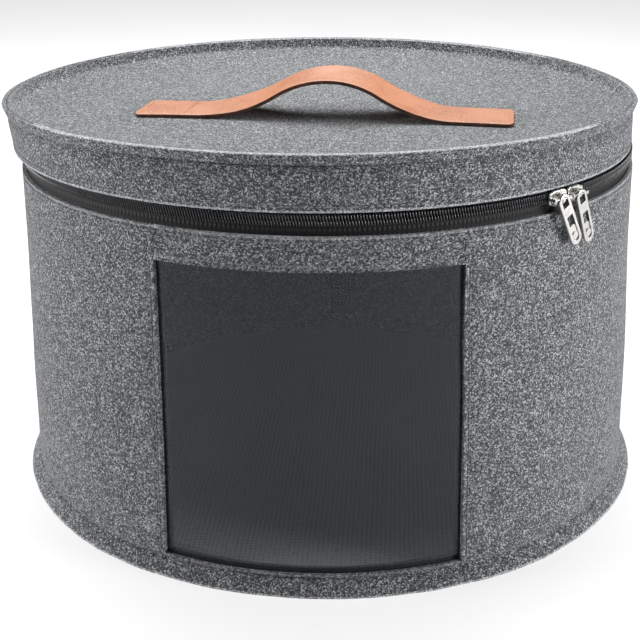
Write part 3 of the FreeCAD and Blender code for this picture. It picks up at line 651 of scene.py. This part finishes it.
# %% Window sheet
SHEET_OUT = WALL - FELT - 0.1
SHEET_LOW, SHEET_HIGH = low("window_sheet").z, high("window_sheet").z
SHEET_HALF = math.degrees(math.asin(high("window_sheet").x / SHEET_OUT))
SHEET_THICK = 0.5
SHEET_RIPPLE = 1.3          # how far the ripple moves the sheet
sheet = arc([(SHEET_OUT - SHEET_THICK, SHEET_LOW), (SHEET_OUT, SHEET_LOW), (SHEET_OUT, SHEET_HIGH),
             (SHEET_OUT - SHEET_THICK, SHEET_HIGH)], -SHEET_HALF, 2 * SHEET_HALF, step=1, longest=7)
settle_body(sheet)
for vert in sheet.verts:
    radius, azimuth, height = cylindrical(vert.co)
    room = min(smooth((HALF_WINDOW - 2 - abs(azimuth)) / 4), smooth((height - SILL - 5) / 14),
               smooth((WINDOW_TOP - 2 - height) / 14))
    move = room * SHEET_RIPPLE * (noise.noise(Vector((azimuth / 6, height / 60, 4))) - 0.3)
    vert.co.x *= (radius + move) / radius
    vert.co.y *= (radius + move) / radius
hand_over(sheet, "clear_window", [FILM], "clear_film", "box", "window_sheet")

# %% [markdown]
# The binding is four strips of ribbed tape round the opening. Tape sewn round a curve puckers, so
# its points wander by up to a quarter of a millimetre before the piece is handed over.

# %% Window binding
BIND_OUT = SHEET_OUT - 0.6                          # just inside the sheet
TAPE_THICK = 0.8
BIND_IN = BIND_OUT - TAPE_THICK
# The binding that shows inside the opening is real tape, and its black strip there also stands in as painted
# shade.
BINDING_SHADE_STRIP = 4.0                                          # binding that shows inside the opening
PUCKER = 0.25


def edging(name, node, start, sweep, bottom, top):
    bm = arc([(BIND_IN, bottom), (BIND_OUT, bottom), (BIND_OUT, top), (BIND_IN, top)],
             start, sweep, step=0.8, longest=6)
    soften(bm, 0.25)
    settle_body(bm)
    for vert in bm.verts:
        vert.co.z += PUCKER * noise.noise(vert.co / 6)
    hand_over(bm, name, [BINDING], "black_tape", "box", node)


binding_shade_angle = math.degrees(BINDING_SHADE_STRIP / WALL)
side_sweep = SHEET_HALF - HALF_WINDOW + binding_shade_angle
edging("edging_left", "binding_left", -SHEET_HALF, side_sweep, SHEET_LOW, SHEET_HIGH)
edging("edging_right", "binding_right", SHEET_HALF - side_sweep, side_sweep, SHEET_LOW, SHEET_HIGH)
inner_half = HALF_WINDOW - binding_shade_angle - 0.02        # the strips between just miss the upright ones
for side in ("bottom", "top"):
    node = f"binding_{side}"
    edging(f"edging_{side}", node, -inner_half, 2 * inner_half, low(node).z, high(node).z)

# %% [markdown]
# The zip's two tapes carry the coil. The lower one stands straight up behind the wall's top edge.
# The upper one slants outwards to the inside of the lid's wall. The ends are folded under a tab.

# %% Zip tapes
ZIP_HALF = 150.0            # the zip runs this far round each way from the window's middle
COIL_FOOT, COIL_HEAD = low("zip_coil_lower").z, high("zip_coil_upper").z
CHAIN = (COIL_FOOT + COIL_HEAD) / 2
FROM_CHAIN = 0.9            # each tape ends this far from the middle of the chain
TAPE_OUT = WALL - FELT - 0.5
TAPE_IN = TAPE_OUT - TAPE_THICK
LID_IN = LID_OUT - FELT
lower_low = low("zip_tape_lower").z
lower_tape = arc([(TAPE_IN, lower_low), (TAPE_OUT, lower_low), (TAPE_OUT, CHAIN - FROM_CHAIN),
                  (TAPE_IN, CHAIN - FROM_CHAIN)], -ZIP_HALF, 2 * ZIP_HALF)
soften(lower_tape, 0.2)
hand_over(lower_tape, "tape_lower", [ZIP_TAPE], "black_tape", "box", "zip_tape_lower")

lid_line = LID_IN - 0.1     # the lid wall's inner side, where the upper tape is sewn on
upper_high = high("zip_tape_upper").z
slant_low, slant_high = COIL_HEAD + 0.8, LID_EDGE + 4
upper_tape = arc([(TAPE_IN, CHAIN + FROM_CHAIN), (TAPE_OUT, CHAIN + FROM_CHAIN), (TAPE_OUT, slant_low),
                  (lid_line, slant_high), (lid_line, upper_high), (lid_line - TAPE_THICK, upper_high),
                  (lid_line - TAPE_THICK, slant_high + 0.4), (TAPE_IN, slant_low + 0.4)],
                 -ZIP_HALF, 2 * ZIP_HALF)
soften(upper_tape, 0.2)
settle_lid(upper_tape, slant_low, 4.4)
hand_over(upper_tape, "tape_upper", [ZIP_TAPE], "black_tape", "lid", "zip_tape_upper")

# %% [markdown]
# A closed coil zip shows two rows of little loops that pass between each other. One tooth is a
# slanted, rounded bar of a few dozen faces. Spinning it with copies lays hundreds of them round the
# box; the upper row starts half a pitch later, so the rows mesh and can still part when the lid opens.

# %% Zip teeth
PITCH = 1.72                # from one loop of the coil to the next
TOOTH = (2.2, 0.9, 3.7)     # through the chain, along it, and across it
TOOTH_SLANT = 14            # degrees off the upright
TOOTH_ROUND = 0.34          # how far its edges are rounded
TEETH_SHORT = 0.6           # degrees that the teeth stop short of the tape's ends


def teeth(height, shift):
    """One row of teeth at this height, moved along by shift of their pitch."""
    bm = bmesh.new()
    bmesh.ops.create_cube(bm, size=1)
    bmesh.ops.scale(bm, vec=TOOTH, verts=bm.verts[:])
    bevel(bm, bm.edges[:], TOOTH_ROUND, 1)
    bmesh.ops.rotate(bm, verts=bm.verts[:], cent=(0, 0, 0), matrix=tilt(TOOTH_SLANT, "X"))
    bmesh.ops.translate(bm, verts=bm.verts[:], vec=(TAPE_OUT + TOOTH[0] / 2, 0, height))
    pitch_angle = math.degrees(PITCH / (TAPE_OUT + TOOTH[0]))
    count = int(2 * (ZIP_HALF - TEETH_SHORT) / pitch_angle)
    turn(bm, -90 - count * pitch_angle / 2 + shift * pitch_angle)
    spin(bm, everything(bm), count * pitch_angle, count, copies=True)
    return bm


hand_over(teeth(COIL_FOOT + TOOTH[2] / 2, 0), "teeth_lower", [NYLON], "coil", "box", "zip_coil_lower")
hand_over(teeth(COIL_HEAD - TOOTH[2] / 2, 0.5), "teeth_upper", [NYLON], "coil", "lid", "zip_coil_upper")

# %% [markdown]
# At each end of the zip a scrap of black tape is folded over and tacked down, so that the sliders
# stop there. At the back, between the ends, a strip of felt is the hinge. It belongs to both halves,
# so it is left without a parent and runs from the box to the lid, slanting out between them.

# %% End tabs and hinge
TAB_IN, TAB_OUT = WALL + 1.05, WALL + 2.25      # it lies over the wall, clear of the sliders
TAB_SWEEP = 3.4                                 # degrees that it covers
for side, sign in (("left", -1), ("right", 1)):
    node = f"zip_end_tab_{side}"
    tab_low, tab_high = low(node).z, high(node).z
    tab = arc([(TAB_IN, tab_low), (TAB_OUT, tab_low), (TAB_OUT, tab_high), (TAB_IN, tab_high)],
              sign * (ZIP_HALF + 1.2) - TAB_SWEEP / 2, TAB_SWEEP, step=0.4, longest=3)
    soften(tab, 0.4)
    for vert in tab.verts:
        vert.co += vert.normal * 0.15 * noise.noise(vert.co / 3)
    hand_over(tab, f"end_tab_{side}", [BINDING], "black_tape", "box", node, centre=sign * ZIP_HALF)

STRIP = 1.6                 # thickness of the hinge strip
STRIP_HALF = 27             # degrees that it runs each way from the back's middle
strip_low, strip_high = low("hinge_strip").z, high("hinge_strip").z
BEND = 12                   # height over which it takes up the lid's slip
bend_low, bend_high = HEIGHT + 2, LID_EDGE - 1      # between them it slants out to the lid
inner_line = WALL - FELT - 0.1
hinge = arc([(inner_line - STRIP, strip_low), (inner_line, strip_low), (inner_line, bend_low),
             (lid_line, bend_high), (lid_line, strip_high), (lid_line - STRIP, strip_high),
             (lid_line - STRIP, bend_high + 0.5), (inner_line - STRIP, bend_low + 0.5)],
            180 - STRIP_HALF, 2 * STRIP_HALF, step=1, longest=2)
soften(hinge, 0.4)
settle_lid(hinge, bend_low, BEND)
strip = hand_over(hinge, "hinge_felt_strip", [FELT_GREY], "felt_grey", None, "hinge_strip", centre=180)

# %% [markdown]
# The lid's wall is a short hoop of felt. It stands up past the seam as a fin, and the seam itself
# is a sharp crease where two layers are sewn together. The outline holds the crease and the hem's
# dip, and the fin's edge is rounded and paler; that paler felt is partly a painted highlight.

# %% Lid wall
LID_HEM = (low("lid_hem_thread").z + high("lid_hem_thread").z) / 2
CREASE = LID_SEAM - 0.2
CREASE_IN = LID_OUT - 1.9
lid_wall = ring([(LID_OUT, LID_EDGE), (LID_OUT, LID_EDGE + CUT_HIGHLIGHT), *reversed(dip(LID_OUT, LID_HEM)),
                 (LID_OUT + 0.1, CREASE - 0.8), (CREASE_IN, CREASE - 0.1), (CREASE_IN, CREASE + 0.3),
                 (LID_OUT + 0.4, CREASE + 1), (LID_OUT + 0.5, LID_TOP), (LID_OUT - FELT + 0.3, LID_TOP),
                 (LID_IN, CREASE + 1), (LID_IN, LID_EDGE)])
soften(lid_wall, 0.6, sharp=85)
settle_lid(lid_wall)
show_cut_edge_highlights(lid_wall, LID_EDGE, LID_TOP)
hand_over(lid_wall, "felt_lid_wall", [FELT_GREY, FELT_CUT_HIGHLIGHT], "felt_grey", "lid", "lid_wall")

# %% [markdown]
# The lid's top is a felt disc whose rim turns up inside the fin. It lies a little below its seam,
# like a shallow dish, and sags unevenly between the handle and the rim.

# %% Lid top
FLAT = low("lid_panel").z + FELT   # upper face of the panel's middle
RIM_OUT, RIM_HIGH = LID_IN - 0.1, high("lid_panel").z
RIM_IN = RIM_OUT - FELT
SEAM_LINE = LID_SEAM - 0.5
DISH, DISH_SLOPE, DISH_RISE = 150, 178, 1.6     # radii where it leaves the flat and is 1.6 mm up
lid_top = ring([(0, FLAT - FELT), (DISH, FLAT - FELT), (DISH_SLOPE, FLAT - FELT + DISH_RISE),
                (RIM_IN - 2, SEAM_LINE - FELT), (RIM_OUT, SEAM_LINE - FELT),
                (RIM_OUT, RIM_HIGH), (RIM_IN, RIM_HIGH), (RIM_IN, SEAM_LINE + 0.6),
                (RIM_IN - 1.6, SEAM_LINE - 0.2), (DISH_SLOPE, FLAT + DISH_RISE), (DISH, FLAT), (0, FLAT)],
               longest=6)
soften(lid_top, 0.7, sharp=50)
settle_lid(lid_top)
show_cut_edge_highlights(lid_top, RIM_HIGH)
hand_over(lid_top, "felt_lid_top", [FELT_GREY, FELT_CUT_HIGHLIGHT], "felt_grey", "lid", "lid_panel")

# %% [markdown]
# Stitches. The engineering model draws each seam as one long thread. Here a lockstitch is a short
# spindle of thread that dives into the felt at both ends; spinning it with copies sews a whole row.

# %% Stitch helpers
STITCH = 3.3                # length of one stitch
STITCH_PITCH = 4.2          # from one stitch to the next
STITCH_TILT = 5             # degrees that it leans off its row


def spindle(bm, long, place, lean=0):
    """One stitch at place, long in the Y direction before it leans about X."""
    made = bmesh.ops.create_uvsphere(bm, u_segments=6, v_segments=5, radius=0.5)["verts"]
    bmesh.ops.rotate(bm, verts=made, cent=(0, 0, 0), matrix=tilt(90, "X"))
    bmesh.ops.scale(bm, vec=(2 * THREAD, long, 2 * THREAD), verts=made)
    if lean:
        bmesh.ops.rotate(bm, verts=made, cent=(0, 0, 0), matrix=tilt(lean, "X"))
    bmesh.ops.translate(bm, verts=made, vec=place)


def stitch_row(radius, height, start, sweep):
    """A row round the box from azimuth start through sweep degrees."""
    bm = bmesh.new()
    spindle(bm, STITCH, (radius, 0, height), STITCH_TILT)
    count = round(math.radians(sweep) * radius / STITCH_PITCH)
    turn(bm, start - 90 + sweep / count / 2)
    spin(bm, everything(bm), sweep * (count - 1) / count, count - 1, copies=True)
    print("row of", count, "stitches")
    return bm


# %% [markdown]
# The four long rows: the base seam, the body's hem, the lid's hem and the lid's seam. The hem rows
# sit in their dips, half sunk, and the seam rows lie deep in their creases. Each is moved by the
# same function as the felt below it.

# %% Rows all round
SUNK = 0.15                 # how far a stitch lies below where the straight felt would be
FOOT_SUNK, SEAM_SUNK = 1.8, 2.3     # the same in the crease at the foot and under the lid's fin
for name, node, radius, settle, body in (
        ("stitches_base", "base_seam_thread", WALL - FOOT_SUNK, settle_body, "box"),
        ("stitches_body_hem", "body_hem_thread", WALL - SUNK, settle_body, "box"),
        ("stitches_lid_hem", "lid_hem_thread", LID_OUT - SUNK, settle_lid, "lid"),
        ("stitches_lid_seam", "lid_seam_thread", LID_OUT - SEAM_SUNK, settle_lid, "lid")):
    row = stitch_row(radius, (low(node).z + high(node).z) / 2, 0, 360)
    settle(row)
    hand_over(row, name, [THREAD_GREY], "thread_grey", body, node)

# %% [markdown]
# Round the window, two rows follow the box and two stand upright. The upright ones are spindles
# stacked along Z and turned to their azimuth.

# %% Window stitches
for name, node, height in (("stitches_window_top", "window_thread_top", WINDOW_ROW_TOP),
                           ("stitches_window_low", "window_thread_bottom", WINDOW_ROW_LOW)):
    row = stitch_row(WALL - SUNK, height, -HALF_WINDOW, 2 * HALF_WINDOW)
    settle_body(row)
    hand_over(row, name, [THREAD_GREY], "thread_grey", "box", node)

for side, azimuth in zip(("left", "right"), UPRIGHT_ROWS):
    bottom, top = low(f"window_thread_{side}").z, high(f"window_thread_{side}").z
    row = bmesh.new()
    count = round((top - bottom) / STITCH_PITCH)
    for i in range(count):
        spindle(row, STITCH, (WALL - SUNK, 0, bottom + (i + 0.5) * (top - bottom) / count), 90 - STITCH_TILT)
    turn(row, azimuth - 90)
    settle_body(row)
    hand_over(row, f"stitches_window_{side}", [THREAD_GREY], "thread_grey", "box",
              f"window_thread_{side}")

# %% [markdown]
# The handle is one strap of leather. Its ends lie flat, and between them it rises in an arch with
# room for fingers. The arch's line is three arcs that meet without a kink: a crest, and a foot at
# each end that turns it flat again.

# %% Handle line
STRAP_TURN = -5.0           # degrees about the upright
STRAP_SLIP = -0.15          # the handle's share of the lid's slip
STRAP_LONG, STRAP_WIDE, STRAP_THICK = 250.0, 47.0, 2.4
ARCH_HALF, CREST = 88.0, 62.0   # half the arch's length, and the radius of its crest
strap_middle = (low("handle_strap") + high("handle_strap")) / 2
strap_floor = low("handle_strap").z
ARCH_RISE = high("handle_strap").z - strap_floor - STRAP_THICK
bend = 2 * math.atan2(ARCH_RISE, ARCH_HALF)
foot_radius = ARCH_HALF / math.sin(bend) - CREST


def strap_height(x):
    """Height of the strap's underside over the felt, x along it from its middle."""
    x = abs(x)
    if x >= ARCH_HALF:
        return 0.0
    if x >= ARCH_HALF - foot_radius * math.sin(bend):
        return foot_radius - math.sqrt(foot_radius ** 2 - (ARCH_HALF - x) ** 2)
    return ARCH_RISE - CREST + math.sqrt(CREST ** 2 - x ** 2)


def place_on_lid(bm, height):
    """Turns a piece drawn about the strap's middle and sets it on the lid."""
    turn(bm, STRAP_TURN)
    bmesh.ops.translate(bm, verts=bm.verts[:], vec=(strap_middle.x, strap_middle.y, height))


# %% [markdown]
# A flat grid is bent to that line and its corners are drawn in. Then it becomes leather: a slight
# cupping and a roll across the arch where hands have pulled it, thickness from Solidify's
# operator, softened edges, and brown edge paint on its rims.

# %% Handle strap
CORNER = 5.0                # radius of its four corners
STRAP_NARROW = 0.8          # how much each side draws in along the arch
STRAP_CUP = 0.7             # how far both sides stand up along the arch
STRAP_ROLL = 1.4            # how far the arch's far edge stands up, and its near edge lies down
CREST_SHIFT = 4.0           # how far the crest stands towards +X
strap = bmesh.new()
bmesh.ops.create_grid(strap, x_segments=110, y_segments=14, size=0.5)
bmesh.ops.scale(strap, vec=(STRAP_LONG, STRAP_WIDE, 1), verts=strap.verts[:])
for vert in strap.verts:
    x, y = vert.co.x, vert.co.y
    past = abs(x) - (STRAP_LONG / 2 - CORNER)
    half = STRAP_WIDE / 2 - (CORNER - math.sqrt(max(0.0, CORNER ** 2 - past ** 2)) if past > 0 else 0)
    raised = smooth((ARCH_HALF - abs(x)) / 40)
    side = y / (STRAP_WIDE / 2)
    vert.co.y = side * (half - STRAP_NARROW * raised) + 0.5 * noise.noise(Vector((x / 40, 0, 5)))
    roll = STRAP_ROLL * side * (1 - 0.6 * x / ARCH_HALF)
    vert.co.z = strap_height(x) + raised * (STRAP_CUP * side * side + roll)
    vert.co.x += CREST_SHIFT * raised
bmesh.ops.recalc_face_normals(strap, faces=strap.faces[:])
if sum(f.normal.z for f in strap.faces) > 0:
    bmesh.ops.reverse_faces(strap, faces=strap.faces[:])
bmesh.ops.solidify(strap, geom=strap.faces[:], thickness=STRAP_THICK)
bmesh.ops.recalc_face_normals(strap, faces=strap.faces[:])
heights = [v.co.z for v in strap.verts]
print(f"strap stands {min(heights):.2f} to {max(heights):.2f} over the lid's felt")
for face in strap.faces:
    middle = face.calc_center_median()
    at_end = abs(face.normal.x) > 0.5 and abs(middle.x) > STRAP_LONG / 2 - CORNER - 1
    face.material_index = int(abs(face.normal.y) > 0.7 or at_end)
soften(strap, 0.45)
place_on_lid(strap, strap_floor)
settle_lid(strap, slip=STRAP_SLIP)
hand_over(strap, "leather_strap", [LEATHER, EDGE_PAINT], "leather", "lid", "handle_strap")

# %% [markdown]
# Each end is sewn down with two lines of tan stitches across the strap, and under the felt a patch
# spreads the pull. The patch is a slab with round corners and softened edges.

# %% Handle stitches and patches
ROW_INSETS = (3.5, 33.5)    # from the strap's end to each line
ROW_STITCH, ROW_PITCH = 3.1, 4.4
HALF_ROW = 4                # stitches each side of the middle one
rows = bmesh.new()
for side in (-1, 1):
    for inset in ROW_INSETS:
        for i in range(-HALF_ROW, HALF_ROW + 1):
            spindle(rows, ROW_STITCH, (side * (STRAP_LONG / 2 - inset), i * ROW_PITCH, STRAP_THICK + 0.2))
place_on_lid(rows, strap_floor)
settle_lid(rows, slip=STRAP_SLIP)
hand_over(rows, "stitches_handle", [THREAD_TAN], "thread_tan", "lid", "handle_stitches")

PATCH_LONG, PATCH_WIDE, PATCH_CORNER = 45, 53, 6
for side in ("left", "right"):
    node = f"handle_patch_{side}"
    middle = (low(node) + high(node)) / 2
    patch = bmesh.new()
    bmesh.ops.create_cube(patch, size=1)
    bmesh.ops.scale(patch, vec=(PATCH_LONG, PATCH_WIDE, high(node).z - low(node).z), verts=patch.verts[:])
    uprights = [e for e in patch.edges if abs(e.verts[0].co.z - e.verts[1].co.z) > 1]
    bevel(patch, uprights, PATCH_CORNER, 5)
    soften(patch, 0.4)
    turn(patch, STRAP_TURN)
    bmesh.ops.translate(patch, verts=patch.verts[:], vec=middle)
    settle_lid(patch, slip=STRAP_SLIP)
    hand_over(patch, f"patch_{side}", [LEATHER], "leather", "lid", node)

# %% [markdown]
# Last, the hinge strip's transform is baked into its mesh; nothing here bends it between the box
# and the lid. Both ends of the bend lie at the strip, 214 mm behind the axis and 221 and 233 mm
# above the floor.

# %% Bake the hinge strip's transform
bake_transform(strip)

# %% [markdown]
# The parts whose engineering shape is right keep it and only get a finish: both sliders and pulls
# in nickel, and the board under the lining.

# %% Finish the kept parts
for name, finish in (("slider_left", NICKEL), ("slider_right", NICKEL), ("pull_left", NICKEL),
                     ("pull_right", NICKEL), ("base_board", BOARD)):
    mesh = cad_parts[name].data
    mesh.materials.clear()
    mesh.materials.append(finish)
print("kept parts finished")

# %% [markdown]
# A studio: a wide pale floor, a bright even sky behind it, one soft light above and a little behind
# so that the lid's top is the brightest felt, and a softer one on each side. The floor glows a
# little, so that it stays pale up to the box's foot.

# %% Floor
FLOOR, tree, shader = start_material("pale studio floor", {
    "Roughness": 0.9, "Emission Color": linear("#FFFFFF"), "Emission Strength": 0.7})
place = add(tree, "ShaderNodeTexCoord").outputs["Object"]
mottle = add(tree, "ShaderNodeTexNoise", {"Vector": place, "Scale": per_metre(400), "Detail": 2.0})
paint(tree, shader, mottle.outputs["Fac"], (0.3, "#88888A"), (0.7, "#8E8E90"))
FLOOR_HALF = 6                          # metres from the box to the floor's edge
floor_bm = bmesh.new()
bmesh.ops.create_grid(floor_bm, x_segments=1, y_segments=1, size=FLOOR_HALF)
floor_mesh = bpy.data.meshes.new("floor")
floor_bm.to_mesh(floor_mesh)
floor_bm.free()
floor_mesh.materials.append(FLOOR)
floor = bpy.data.objects.new("floor", floor_mesh)
bpy.context.scene.collection.objects.link(floor)

# %% [markdown]
# Lights are areas, because a big soft source gives the gentle shading of a product studio. The sky
# is white to the camera and lights the box only faintly, so the softboxes shape it. The plain view
# transform keeps the colours as they were picked.

# %% Light


def softbox(name, place, size, watts, target=(0, 0, 0.15)):
    """A round area light at place, size metres across, that faces target."""
    data = bpy.data.lights.new(name, "AREA")
    data.shape, data.size, data.energy = "DISK", size, watts
    made = bpy.data.objects.new(name, data)
    made.location = place
    made.rotation_euler = (Vector(target) - Vector(place)).to_track_quat("-Z", "Y").to_euler()
    bpy.context.scene.collection.objects.link(made)


softbox("top light", (-0.1, 0.75, 1.9), 1.8, 92)
softbox("left light", (-2.1, -0.35, 0.55), 1.0, 54)
softbox("right light", (2.1, -0.6, 0.55), 1.0, 66)
sky = bpy.data.worlds.new("studio sky")
sky.use_nodes = True
seen = add(sky.node_tree, "ShaderNodeLightPath").outputs["Is Camera Ray"]
level = add(sky.node_tree, "ShaderNodeMapRange", {"Value": seen, "To Min": 0.08, "To Max": 1.0})
backdrop = sky.node_tree.nodes["Background"]
backdrop.inputs["Color"].default_value = (1, 1, 1, 1)
sky.node_tree.links.new(level.outputs[0], backdrop.inputs["Strength"])
bpy.context.scene.world = sky
bpy.context.scene.view_settings.view_transform = "Standard"

# %% [markdown]
# The camera stands in front and a little to the right, above the lid, and looks down on it. Its
# shift frames the box without tilting the view any further.

# %% Camera
DISTANCE, RISE = 0.8497, 0.4219                 # metres from the box's axis, and above the floor
BEARING, PITCH_DOWN, ROLL = 3.3, 16.88, -0.2    # degrees
SENSOR, LENS = 36, 69.33                        # millimetres
SHIFT = (-0.0119, -0.15)                        # shares of the frame's width
camera = bpy.data.objects.new("camera", bpy.data.cameras.new("camera"))
camera.data.sensor_width = SENSOR
camera.data.lens = LENS
camera.data.shift_x, camera.data.shift_y = SHIFT
bearing = math.radians(BEARING)
camera.location = (DISTANCE * math.sin(bearing), -DISTANCE * math.cos(bearing), RISE)
camera.rotation_euler = (Matrix.Rotation(bearing, 4, "Z")
                         @ Matrix.Rotation(math.radians(90 - PITCH_DOWN), 4, "X")
                         @ Matrix.Rotation(math.radians(ROLL), 4, "Z")).to_euler()
bpy.context.scene.collection.objects.link(camera)
bpy.context.scene.camera = camera
